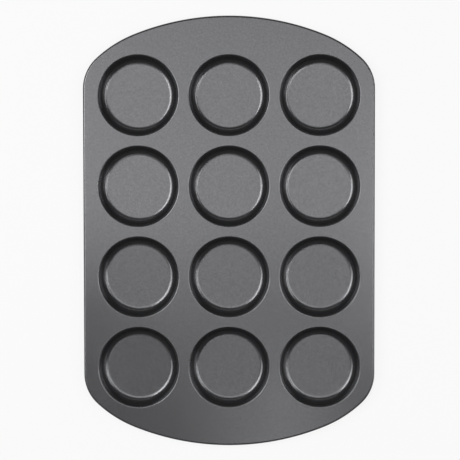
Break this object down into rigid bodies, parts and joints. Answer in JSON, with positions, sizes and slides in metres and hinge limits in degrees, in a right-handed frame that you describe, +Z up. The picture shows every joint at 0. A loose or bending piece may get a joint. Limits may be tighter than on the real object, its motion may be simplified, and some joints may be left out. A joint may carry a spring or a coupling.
{
  "type": "twelve-cup baking pan",
  "caption": "One-piece nonstick steel baking pan with shallow round cups in a flat web, bowed ends wide enough to grip, and a rolled rim all round.",
  "frame": {"origin": "middle of the cup grid, on the plane that the undersides of the cup floors stand on", "axes": "+X across the pan, +Y along its length towards one bowed end, +Z up out of the cups"},
  "size_m": [0.2826, 0.4172, 0.0133],
  "materials": {
    "nonstick_coating": "dark grey nonstick coating baked on steel sheet, satin with a fine metallic flake"
  },
  "bodies": {
    "root": {"pan": "nonstick_coating"}
  },
  "joints": []
}
